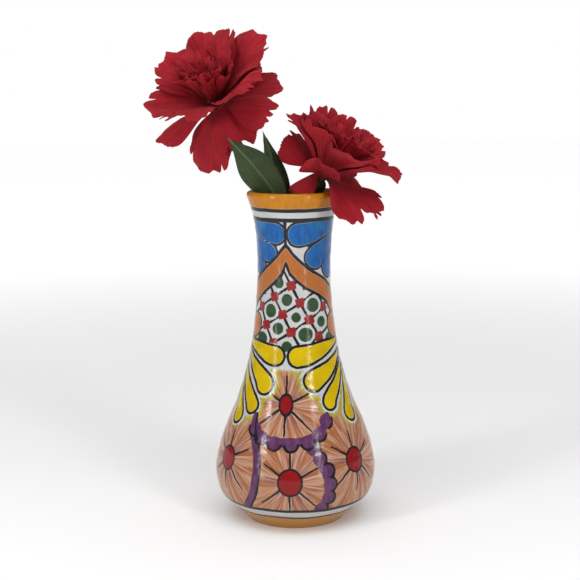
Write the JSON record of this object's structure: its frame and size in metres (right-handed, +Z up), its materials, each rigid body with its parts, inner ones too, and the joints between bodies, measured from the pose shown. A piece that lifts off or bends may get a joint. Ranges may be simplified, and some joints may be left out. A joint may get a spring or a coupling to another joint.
{
  "type": "talavera pottery vase",
  "caption": "Bulb-bellied earthenware bud vase with a tall flared neck and a hand-painted glaze, holding artificial carnations that lift out.",
  "frame": {"origin": "centre of the flat underside of the vase's foot", "axes": "+Z up the vase's axis, -Y towards the front of the vase, +X to the right when facing the front"},
  "size_m": [0.1547, 0.0998, 0.3035],
  "materials": {
    "glaze": "white tin glaze, hand painted in blue, orange, yellow, green, purple and black, gloss; unglazed foot",
    "petal": "starched red polyester, heat-embossed veins, cut and frayed edge",
    "leaf": "dark green printed polyester, embossed midrib",
    "stem": "moulded green polyethylene, fine lengthwise ribs",
    "fitting": "moulded green polyethylene",
    "spacer": "moulded polyethylene, dyed the petals' red",
    "wire": "plain drawn steel wire"
  },
  "bodies": {
    "vase": {"vase": "glaze"},
    "left_stem": {"left_back_leaf": "leaf", "left_front_leaf": "leaf", "left_leaf_collar": "fitting", "left_stem_sleeve": "stem", "left_stem_wire": "wire"},
    "left_head": {"left_calyx": "fitting", "left_heart_petals": "petal", "left_inner_petals": "petal", "left_middle_petals": "petal", "left_outer_petals": "petal", "left_peg": "spacer", "left_skirt_petals": "petal", "left_spacer_1": "spacer", "left_spacer_2": "spacer", "left_spacer_3": "spacer", "left_spacer_4": "spacer"},
    "right_stem": {"right_stem_sleeve": "stem", "right_stem_wire": "wire"},
    "right_head": {"right_calyx": "fitting", "right_heart_petals": "petal", "right_inner_petals": "petal", "right_middle_petals": "petal", "right_outer_petals": "petal", "right_peg": "spacer", "right_skirt_petals": "petal", "right_spacer_1": "spacer", "right_spacer_2": "spacer", "right_spacer_3": "spacer", "right_spacer_4": "spacer"}
  },
  "joints": [
    {"name": "left_flower_lift", "type": "slide", "parent": "vase", "child": "left_stem", "axis": [-0.1237, 0.0121, 0.9922], "range_m": [0, 0.21]},
    {"name": "right_flower_lift", "type": "slide", "parent": "vase", "child": "right_stem", "axis": [0.0597, -0.0199, 0.998], "range_m": [0, 0.21]},
    {"name": "left_head_turn", "type": "hinge", "parent": "left_stem", "child": "left_head", "pos_m": [-0.0445, 0.007, 0.254], "axis": [-0.3398, -0.5996, 0.7246], "range_deg": [-15, 15]},
    {"name": "right_head_turn", "type": "hinge", "parent": "right_stem", "child": "right_head", "pos_m": [0.017, -0.004, 0.212], "axis": [0.46, -0.2, 0.8651], "range_deg": [-12, 7]}
  ]
}
